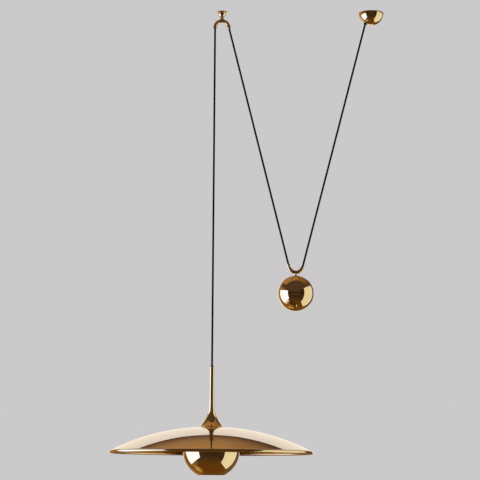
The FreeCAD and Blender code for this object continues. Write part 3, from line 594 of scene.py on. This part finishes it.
bush = turned("moulded_stem_bush", [
    (2.75, stem_top - 12), (5.62, stem_top - 12), (5.62, stem_top), (5.5, stem_top),
    (5.5, stem_top + 1.4, 0.8), (4.7, stem_top + 2.2), (3.4, stem_top + 2.2, 0.6),
    (2.75, stem_top + 1.6),
], lamp_axis, step=0.3, steps=96)

# %% [markdown]
# Under the dome hangs a small bowl, open below, that hides the bulb from the eye and throws
# part of its light up under the disc. It is a spun ball with both ends cut off.

# %% Bowl
bowl_radius = radius_of("bowl") / MM
BOWL_WALL = 0.8
BOWL_RIM = 6.0
MOUTH = 35.0
bowl_level = (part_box("bowl")[1].z - lamp_axis.z) / MM - BOWL_RIM
inner_bowl = bowl_radius - BOWL_WALL
mouth_level = bowl_level - math.sqrt(bowl_radius ** 2 - MOUTH ** 2)
inner_mouth_level = bowl_level - math.sqrt(inner_bowl ** 2 - MOUTH ** 2)
rim_level = bowl_level + BOWL_RIM
bowl = turned("spun_bowl", [
    (bowl_radius, bowl_level), (bowl_radius, rim_level - 0.4, 0.4),
    (bowl_radius - 0.4, rim_level, 0.4), (inner_bowl, rim_level - 0.4),
    (inner_bowl, bowl_level, -inner_bowl), (MOUTH, inner_mouth_level),
    (MOUTH, mouth_level, bowl_radius),
], lamp_axis, step=1.0)

# %% [markdown]
# The bulb is a plain opal one. Only its round end shows through the bowl's mouth.

# %% Bulb
bulb_radius = radius_of("bulb_glass") / MM
bulb_end = (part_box("bulb_glass")[0].z - lamp_axis.z) / MM
NECK_TOP = -53.0
neck_start = NECK_TOP - 14.0
bulb = turned("blown_bulb_glass", [
    (0, bulb_end + 1), (0, bulb_end, bulb_radius), (bulb_radius, bulb_end + bulb_radius, 40),
    (17, neck_start, -30), (13, NECK_TOP - 6.2), (12.2, NECK_TOP - 6.2), (12.2, NECK_TOP),
    (11.2, NECK_TOP), (11.2, NECK_TOP - 6.6, 30), (16, neck_start - 0.4, -39),
    (bulb_radius - 1, bulb_end + bulb_radius, 1 - bulb_radius),
], lamp_axis, step=1.0, steps=128)

# %% [markdown]
# ## Finishes
# Each finish starts from what the real one is made of. Colours are written as sRGB, as a paint
# chart gives them, and one function turns them to the linear values that a shader needs.

# %% Helpers for finishes
def hex_colour(code):
    """A colour written as sRGB hex, as linear values."""
    parts = [int(code[place:place + 2], 16) / 255 for place in (1, 3, 5)]
    linear = [part / 12.92 if part <= 0.04045 else ((part + 0.055) / 1.055) ** 2.4
              for part in parts]
    return (*linear, 1.0)


def add_node(tree, kind, inputs=None, **settings):
    """Add a node: an input is a value for its socket, or another node's output to link."""
    node = tree.nodes.new("ShaderNode" + kind)
    for name, setting in settings.items():
        setattr(node, name, setting)
    for name, source in (inputs or {}).items():
        if isinstance(source, bpy.types.NodeSocket):
            tree.links.new(source, node.inputs[name])
        else:
            node.inputs[name].default_value = source
    return node


def new_finish(name, **constants):
    """A material with its Principled shader. Constants go on the shader's own sockets."""
    finish = bpy.data.materials.new(name)
    finish.use_nodes = True
    shader = finish.node_tree.nodes["Principled BSDF"]
    for socket, value in constants.items():
        shader.inputs[socket.replace("_", " ")].default_value = value
    return finish, finish.node_tree, shader


def empty_finish(name):
    """A material with nothing in its node tree yet."""
    finish = bpy.data.materials.new(name)
    finish.use_nodes = True
    finish.node_tree.nodes.clear()
    return finish, finish.node_tree


def blend_colours(tree, share, first, second):
    """A colour between two, by a share from 0 to 1."""
    mix = add_node(tree, "Mix", {"Factor": share}, data_type="RGBA")
    mix.inputs["A"].default_value = hex_colour(first)
    mix.inputs["B"].default_value = hex_colour(second)
    return mix.outputs["Result"]


# %% [markdown]
# ### Polished brass
# Yellow brass, spun or turned, then buffed on a mop until it mirrors, and lacquered. What the
# eye gets is the room, tinted gold. Up close there are hair-fine rings from the lathe, a slow
# ripple where the sheet was pressed over its former, and a little drift in the colour. The
# rings go round each piece's own axis, so a Mapping node puts that axis in the middle. The mop
# reaches less under the disc, so the mirror is a little softer there, by a vertex attribute.

# %% Brass
RING_PITCH = 1.3
RIPPLE_SIZE = 45.0
UNBUFFED_ROUGHNESS = 0.16


def leave_unbuffed(piece, measure):
    """Write how unbuffed each vertex is, 0 to 1, by its radius and height in mm."""
    values = piece.data.attributes.new("unbuffed", "FLOAT", "POINT").data
    for vertex, value in zip(piece.data.vertices, values):
        offset = (vertex.co - lamp_axis) / MM
        value.value = measure(math.hypot(offset.x, offset.y), offset.z)


def under_the_disc(radius, height):
    """1 on the underside, and a little less on the rolled edge."""
    if radius > CREASE_IN:
        return 0.5
    return 1.0 if height < dome_height(radius) - SHEET / 2 else 0.0


leave_unbuffed(shade, under_the_disc)


def polished_brass(name, axis, rings=0.10, ripple=0.06):
    """Mirror-polished brass whose turning marks run round an upright axis."""
    finish, tree, shader = new_finish(name, Metallic=1.0)
    place = add_node(tree, "TexCoord").outputs["Object"]
    centred = add_node(tree, "Mapping", {"Vector": place, "Location": (-axis.x, -axis.y, 0)})
    split = add_node(tree, "SeparateXYZ", {"Vector": centred.outputs["Vector"]})
    flat = add_node(tree, "CombineXYZ", {"X": split.outputs["X"], "Y": split.outputs["Y"]})
    radius = add_node(tree, "VectorMath", {0: flat.outputs["Vector"]}, operation="LENGTH")
    ring = add_node(tree, "CombineXYZ", {"X": radius.outputs["Value"], "Y": split.outputs["Z"]})
    marks = add_node(tree, "TexNoise", {
        "Vector": ring.outputs["Vector"], "Scale": 1 / (RING_PITCH * MM), "Detail": 3.0})
    waves = add_node(tree, "TexNoise", {
        "Vector": place, "Scale": 1 / (RIPPLE_SIZE * MM), "Detail": 1.0})
    gloss = add_node(tree, "MapRange", {
        "Value": marks.outputs["Fac"], "From Min": 0.3, "From Max": 0.7,
        "To Min": 0.035, "To Max": 0.06})
    unbuffed = add_node(tree, "Attribute", attribute_name="unbuffed")
    sheen = add_node(tree, "Math", {
        0: unbuffed.outputs["Fac"], 1: UNBUFFED_ROUGHNESS,
        2: gloss.outputs["Result"]}, operation="MULTIPLY_ADD")
    colour = blend_colours(tree, waves.outputs["Fac"], "#ECCB85", "#F3DAA0")
    fine = add_node(tree, "Bump", {
        "Height": marks.outputs["Fac"], "Strength": rings, "Distance": 0.004 * MM})
    slow = add_node(tree, "Bump", {
        "Height": waves.outputs["Fac"], "Strength": ripple, "Distance": 1.0 * MM,
        "Normal": fine.outputs["Normal"]})
    tree.links.new(colour, shader.inputs["Base Color"])
    tree.links.new(sheen.outputs[0], shader.inputs["Roughness"])
    tree.links.new(slow.outputs["Normal"], shader.inputs["Normal"])
    return finish


lamp_brass = polished_brass("polished_brass_lamp", lamp_axis)
ball_brass = polished_brass("polished_brass_ball", ball_centre)
hook_brass = polished_brass("polished_brass_hook", hook_axis)
canopy_brass = polished_brass("polished_brass_canopy", canopy_axis)

# %% [markdown]
# ### Textile sleeve
# Matt black polyester thread, braided round the flex. Its colour is painted a little lighter where
# a thread lies on top, as a painted highlight, and darker in the gaps, as painted shade. The
# pattern reads the cord's UV map, which counts turns, so it follows the mesh's own braid. Sheen
# stands for the fuzz of the fibres.

# %% Textile
FILAMENTS = 5.0


def braided_textile():
    """Black braid on a UV map of turns round the cord and turns of its lay along it."""
    finish, tree, shader = new_finish(
        "black_braided_textile", Roughness=0.85, Specular_IOR_Level=0.12, Sheen_Weight=0.02,
        Sheen_Roughness=0.45)
    turns = add_node(tree, "UVMap", uv_map="turns")
    split = add_node(tree, "SeparateXYZ", {"Vector": turns.outputs["UV"]})
    crests, cells = [], []
    for way in ("ADD", "SUBTRACT"):
        slanted = add_node(tree, "Math", {
            0: split.outputs["X"], 1: split.outputs["Y"]}, operation=way)
        strand = add_node(tree, "Math", {
            0: slanted.outputs[0], 1: float(BRAID_PAIRS)}, operation="MULTIPLY")
        half_wave = add_node(tree, "Math", {0: strand.outputs[0], 1: math.pi}, operation="MULTIPLY")
        wave = add_node(tree, "Math", {0: half_wave.outputs[0]}, operation="SINE")
        crests.append(add_node(tree, "Math", {0: wave.outputs[0]}, operation="ABSOLUTE").outputs[0])
        cells.append(add_node(tree, "Math", {0: strand.outputs[0]}, operation="FLOOR").outputs[0])
    count = add_node(tree, "Math", {0: cells[0], 1: cells[1]}, operation="ADD")
    odd = add_node(tree, "Math", {0: count.outputs[0], 1: 2.0}, operation="FLOORED_MODULO")
    relief = add_node(tree, "Mix", {"Factor": odd.outputs[0]}, data_type="FLOAT")
    tree.links.new(crests[0], relief.inputs["A"])
    tree.links.new(crests[1], relief.inputs["B"])
    fibres = add_node(tree, "TexNoise", {
        "Vector": turns.outputs["UV"], "Scale": BRAID_PAIRS * FILAMENTS, "Detail": 2.0})
    height = add_node(tree, "Math", {
        0: relief.outputs["Result"], 1: fibres.outputs["Fac"]}, operation="MULTIPLY")
    # Painted highlight and shade: the colour is lighter on top of the threads and darker in the
    # gaps between them.
    colour = blend_colours(tree, height.outputs[0], "#010101", "#0C0B0B")
    bump = add_node(tree, "Bump", {
        "Height": height.outputs[0], "Strength": 0.6, "Distance": 0.1 * MM})
    tree.links.new(colour, shader.inputs["Base Color"])
    tree.links.new(bump.outputs["Normal"], shader.inputs["Normal"])
    return finish


textile = braided_textile()

# %% [markdown]
# ### Rubber, plastics, steel and glass
# These are the pieces inside, and the small black ones where the cord passes brass. They are
# all moulded, plated or blown, so one recipe does for them: a colour that drifts between two
# near tones, a roughness that drifts too, and a fine grain of a real size.

# %% Small finishes
def grained(name, tones, rough, grain_size, grain_height, **constants):
    """A finish with two near tones, two roughnesses and a grain of a real size in mm."""
    finish, tree, shader = new_finish(name, **constants)
    place = add_node(tree, "TexCoord").outputs["Object"]
    drift = add_node(tree, "TexNoise", {"Vector": place, "Scale": 1 / (12 * MM), "Detail": 2.0})
    grain = add_node(tree, "TexNoise", {
        "Vector": place, "Scale": 1 / (grain_size * MM), "Detail": 3.0})
    colour = blend_colours(tree, drift.outputs["Fac"], *tones)
    gloss = add_node(tree, "MapRange", {
        "Value": grain.outputs["Fac"], "From Min": 0.3, "From Max": 0.7,
        "To Min": rough[0], "To Max": rough[1]})
    bump = add_node(tree, "Bump", {
        "Height": grain.outputs["Fac"], "Strength": 0.5, "Distance": grain_height * MM})
    tree.links.new(colour, shader.inputs["Base Color"])
    tree.links.new(gloss.outputs["Result"], shader.inputs["Roughness"])
    tree.links.new(bump.outputs["Normal"], shader.inputs["Normal"])
    return finish


rubber = grained("moulded_black_rubber", ("#121212", "#1D1D1C"), (0.5, 0.65), 0.6, 0.02)
SLOT_FINISHES = {
    "polished_brass": lamp_brass,
    "black_textile_cord": textile,
    "black_rubber": rubber,
    "zinc_plated_steel": grained(
        "bright_zinc_plate", ("#C3C6CA", "#D5D6D3"), (0.22, 0.38), 0.8, 0.01, Metallic=1.0),
    "plain_brass": grained(
        "machined_brass", ("#D9B878", "#E6CB8E"), (0.24, 0.36), 0.5, 0.01, Metallic=1.0),
    "pale_plastic": grained(
        "moulded_pale_polyamide", ("#DDDACF", "#E8E5DB"), (0.45, 0.55), 0.7, 0.02),
    "black_plastic": grained("moulded_phenolic", ("#141312", "#1E1C1A"), (0.25, 0.34), 0.9, 0.01),
    "core_insulation": grained(
        "extruded_core_insulation", ("#7A4A2C", "#8B5836"), (0.4, 0.5), 0.7, 0.01),
    "opal_glass": grained(
        "opal_glass", ("#F2F0E8", "#F8F6F0"), (0.12, 0.18), 9.0, 0.05, Transmission_Weight=0.15),
    "bulb_cap_metal": grained(
        "rolled_aluminium", ("#CFCFCC", "#DCDCDA"), (0.3, 0.42), 0.8, 0.02, Metallic=1.0),
}


# %% [markdown]
# ## Putting finishes on
# A new piece takes its finish and rides on its body, and the CAD node that it replaces is hidden.
# A CAD node that stays, such as a screw, takes the finish of its slot in the record.

# %% Dress the new pieces
def dress(piece, finish, body, node):
    """Give a new piece its finish and its body, and hide the CAD node that it replaces."""
    piece.data.materials.clear()
    piece.data.materials.append(finish)
    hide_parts(node)
    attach(piece, body)


for piece, finish, slot, body, node in [
    (rosette, hook_brass, "polished_brass", "root", "hook_rosette"),
    (neck, hook_brass, "polished_brass", "root", "hook_neck"),
    (hook_guide, hook_brass, "polished_brass", "root", "hook_guide"),
    (canopy, canopy_brass, "polished_brass", "root", "canopy_dome"),
    (grommet, rubber, "black_rubber", "root", "canopy_grommet"),
    (weight_guide, ball_brass, "polished_brass", "counterweight", "counterweight_guide"),
    (lug, ball_brass, "polished_brass", "counterweight", "counterweight_lug"),
    (ball, ball_brass, "polished_brass", "counterweight", "counterweight_ball"),
    (shade, lamp_brass, "polished_brass", "lamp", "shade"),
    (stem, lamp_brass, "polished_brass", "lamp", "stem"),
    (bowl, lamp_brass, "polished_brass", "lamp", "bowl"),
    (bush, rubber, "black_rubber", "lamp", "stem_bush"),
    (bulb, SLOT_FINISHES["opal_glass"], "opal_glass", "lamp", "bulb_glass"),
]:
    dress(piece, finish, body, node)
for cord in cords:
    cord.data.materials.append(textile)

# %% Dress the CAD nodes that stay
staying = 0
for subpart in frame["record"]["subparts"]:
    node = frame["nodes"][subpart["node"]]
    node.data.materials.clear()
    node.data.materials.append(SLOT_FINISHES[subpart["material_slot"]])
    staying += not node.hide_render
print(staying, "CAD nodes stay as they are")

# %% [markdown]
# ## Studio
# Polished brass has hardly a colour of its own: it shows what stands round it. So the room is
# built for its reflections. A bright panel stands on the left, a dimmer one on the right and
# a pale one behind, and the rest is dark warm cloth. The background that the camera and the
# mirror see is one pale grey.

# %% Background
BACKDROP = hex_colour("#CBC9CA")
world = bpy.data.worlds.new("studio")
scene.world = world
world.use_nodes = True
world.node_tree.nodes.clear()
rays = add_node(world.node_tree, "LightPath")
seen = add_node(world.node_tree, "Math", {
    0: rays.outputs["Is Camera Ray"], 1: rays.outputs["Is Glossy Ray"]}, operation="MAXIMUM")
seen = add_node(world.node_tree, "Math", {
    0: seen.outputs[0], 1: rays.outputs["Is Transmission Ray"]}, operation="MAXIMUM")
fill = add_node(world.node_tree, "Background", {"Color": hex_colour("#FFFFFF"), "Strength": 0.95})
backdrop = add_node(world.node_tree, "Background", {"Color": BACKDROP, "Strength": 1.0})
either = add_node(world.node_tree, "MixShader", {
    0: seen.outputs[0], 1: fill.outputs[0], 2: backdrop.outputs[0]})
add_node(world.node_tree, "OutputWorld", {"Surface": either.outputs[0]})
scene.view_settings.view_transform = "Standard"

# %% [markdown]
# Two area lights light the part from the sides. The mirror doesn't see them: it sees panels in
# the same places, so that the light and what the brass shows can be set apart. How bright a
# light's face is, is its power over pi and its area, so the power is worked out from that.

# %% Lights
def side_light(name, place, aim, width, height, colour, brightness):
    """An area light that faces aim, as bright as asked, for everything but the mirror."""
    bpy.ops.object.light_add(type="AREA", location=place)
    light = bpy.context.object
    light.name = name
    light.rotation_euler = Vector(aim).to_track_quat("-Z", "Y").to_euler()
    light.data.shape = "RECTANGLE"
    light.data.size = width
    light.data.size_y = height
    light.data.color = hex_colour(colour)[:3]
    light.data.energy = brightness * math.pi * width * height
    light.visible_camera = False
    light.visible_glossy = False
    return light


side_light("light_left", (-2.0, -0.18, -1.43), (1, 0, 0), 2.9, 2.44, "#F4F8FF", 2.0)
side_light("light_right", (2.0, 0.18, -1.82), (-1, 0, 0), 2.85, 4.15, "#FAF9F4", 1.0)


# %% [markdown]
# The other surfaces of the studio are only there for the mirror: they cast no shadow and the
# camera looks through them. Each has tones that run along one of its sides, as cloth does that
# is lit from one end. The panels are a little blue, because brass takes that blue out again.
# The one behind the lamp is pale, and the dome mirrors it near its outline. Black battens and
# a black band in the front cloth draw the dark stripe down the stem.

# %% Panels and cloths
def toned(tree, along, tones):
    """A colour that runs through hex tones, each at its metres along an axis."""
    split = add_node(tree, "SeparateXYZ", {"Vector": add_node(tree, "TexCoord").outputs["Object"]})
    low, high = tones[0][0], tones[-1][0]
    share = add_node(tree, "MapRange", {
        "Value": split.outputs[along], "From Min": low, "From Max": high})
    ramp = add_node(tree, "ValToRGB", {"Fac": share.outputs["Result"]})
    stops = ramp.color_ramp.elements
    stops.remove(stops[1])
    for number, (metres, code) in enumerate(tones):
        stop = stops.new((metres - low) / (high - low)) if number else stops[0]
        stop.color = hex_colour(code)
    return ramp.outputs["Color"]


def cloth(name, place, aim, width, height, along, tones, brightness=1.0, across=None):
    """A surface that only shows in reflections, toned along one axis, or along two."""
    bpy.ops.mesh.primitive_plane_add(size=1, location=place)
    flag = bpy.context.object
    flag.name = name
    flag.scale = (width, height, 1)
    flag.rotation_euler = Vector(aim).to_track_quat("Z", "Y").to_euler()
    bpy.ops.object.transform_apply(location=True, rotation=True, scale=True)
    finish, tree = empty_finish(name)
    colour = toned(tree, along, tones)
    if across:
        both = add_node(tree, "Mix", {"Factor": 1.0}, data_type="RGBA", blend_type="MULTIPLY")
        tree.links.new(colour, both.inputs["A"])
        tree.links.new(toned(tree, *across), both.inputs["B"])
        colour = both.outputs["Result"]
    glow = add_node(tree, "Emission", {"Color": colour, "Strength": brightness})
    add_node(tree, "OutputMaterial", {"Surface": glow.outputs[0]})
    flag.data.materials.append(finish)
    flag.visible_camera = False
    flag.visible_diffuse = False
    flag.visible_shadow = False
    return flag


cloth("panel_left", (-2.0, -0.18, -1.43), (1, 0, 0), 2.9, 2.44, "Z", [
    (-2.65, "#A9B7FF"), (-0.21, "#A9BCFF")], brightness=3.2)
cloth("panel_right", (2.0, 0.18, -1.82), (-1, 0, 0), 2.85, 4.15, "Z", [
    (-3.9, "#F0F4FF"), (0.25, "#F0F4FF")], brightness=1.04)
cloth("cloth_front", (0.0, -5.4, -1.7), (0, 1, 0), 8.0, 4.6, "Z", [
    (-4.0, "#3C3522"), (-2.97, "#3A2D24"), (-2.3, "#413021"), (-1.68, "#503D29"), (-1.0, "#5A4834"),
    (-0.95, "#060403"), (-0.58, "#060403"), (-0.5, "#4E3B30"), (0.13, "#4E3C33"), (0.6, "#4A3B36")])
cloth("batten_left", (-2.55, -3.3, -0.92), (1, 0, 0), 3.3, 0.3, "Y", [
    (-4.9, "#060403"), (-1.7, "#060403")])
cloth("batten_right", (2.55, -3.3, -0.92), (-1, 0, 0), 4.0, 0.3, "Y", [
    (-5.2, "#060403"), (-1.4, "#060403")])
cloth("cloth_above", (0.0, -1.0, 0.6), (0, 0, -1), 8.0, 9.0, "Y", [
    (-5.5, "#50413B"), (-0.3, "#50413B"), (3.5, "#7A6450")])
cloth("cloth_overhead", (0.275, 0.9, 0.12), (0, 0, -1), 2.15, 2.0, "Y", [
    (-0.1, "#A58059"), (0.5, "#A88463"), (0.8, "#AC8A66"), (1.2, "#9C7F6A"), (1.6, "#735948"),
    (1.8, "#3E2721"), (1.9, "#3E2721")],
    across=("X", [(-0.8, "#FFFFFF"), (0.05, "#FFFFFF"), (0.45, "#DAD4D0"), (1.35, "#8A8078")]))
cloth("cloth_below", (0.0, -1.0, -4.0), (0, 0, 1), 8.0, 9.0, "Y", [
    (-5.4, "#3E2F27"), (-2.9, "#4E3C26"), (-1.5, "#5F4320"), (0.0, "#654219"), (2.0, "#6E4A1E")])
cloth("cloth_glow", (-1.9, 1.1, -3.9), (0, 0, 1), 1.8, 1.7, "X", [
    (-2.8, "#8A6430"), (-2.2, "#C8A878"), (-1.7, "#C8A878"), (-1.0, "#8A6430")],
    across=("Y", [(0.25, "#B09880"), (1.0, "#FFFFFF"), (1.95, "#FFFFFF")]))
cloth("cloth_left", (-2.6, -1.0, -1.7), (1, 0, 0), 9.0, 4.6, "Y", [
    (-5.4, "#3E2F27"), (-1.2, "#4A3A30"), (0.6, "#8E7048"), (2.0, "#B08C58")])
cloth("cloth_right", (2.6, -1.0, -1.7), (-1, 0, 0), 9.0, 4.6, "Y", [
    (-5.4, "#3E2F27"), (-1.2, "#3E2F27"), (1.5, "#5C452A")])
cloth("cloth_back", (0.0, 1.95, -0.5), (0, -1, 0), 6.0, 2.2, "X", [
    (-2.6, "#A68A5C"), (-0.6, "#A07840"), (0.8, "#5C452A"), (2.6, "#5C452A")])
cloth("cloth_back_low", (0.0, 1.95, -2.35), (0, -1, 0), 6.0, 1.5, "X", [
    (-2.6, "#70502A"), (-1.9, "#70502A"), (-0.9, "#A87F48"), (-0.1, "#6A451C"), (1.2, "#6F5D42"),
    (2.6, "#6F5D42")])
cloth("cloth_back_foot", (0.0, 1.95, -3.55), (0, -1, 0), 6.0, 0.9, "X", [
    (-2.6, "#70502A"), (0.0, "#6A451C"), (2.6, "#6F5D42")])
cloth("screen_back", (-0.05, 1.75, -0.61), (0, -1, 0), 1.6, 1.38, "Z", [
    (-1.3, "#F4EEE4"), (-0.8, "#EFEAE4"), (0.1, "#D8DEFF")], brightness=1.15)

# %% [markdown]
# ## Floor and ceiling
# A pale floor lies a table's height and more under the lamp. The ceiling has the backdrop's
# colour, and hides the screws that go into it, as a real one does. Both are clear from their
# far side, so that the part can be seen from above and from below.

# %% Floor and ceiling
FLOOR_LEVEL = -2.4
CEILING_GAP = 0.2 * MM
PLANE_SIZE = 24


def one_sided(name, finish_name, kind, inputs, level, turn=0.0):
    """A wide plane that shows one node's surface from its front and is clear from its back."""
    finish, tree = empty_finish(finish_name)
    front = add_node(tree, kind, inputs)
    sides = add_node(tree, "NewGeometry")
    clear = add_node(tree, "BsdfTransparent")
    shown = add_node(tree, "MixShader", {
        0: sides.outputs["Backfacing"], 1: front.outputs[0], 2: clear.outputs[0]})
    add_node(tree, "OutputMaterial", {"Surface": shown.outputs[0]})
    bpy.ops.mesh.primitive_plane_add(size=1, location=(0, 0, level))
    plane = bpy.context.object
    plane.name = name
    plane.scale = (PLANE_SIZE, PLANE_SIZE, 1)
    plane.rotation_euler = (turn, 0, 0)
    bpy.ops.object.transform_apply(location=True, rotation=True, scale=True)
    plane.data.materials.append(finish)
    plane.visible_glossy = False
    return plane


floor = one_sided("floor", "pale_floor", "BsdfDiffuse", {"Color": BACKDROP}, FLOOR_LEVEL)
ceiling = one_sided("ceiling", "pale_ceiling", "Emission", {"Color": BACKDROP, "Strength": 1.0},
                    CEILING_GAP, turn=math.pi)
ceiling.visible_diffuse = False
ceiling.visible_shadow = False
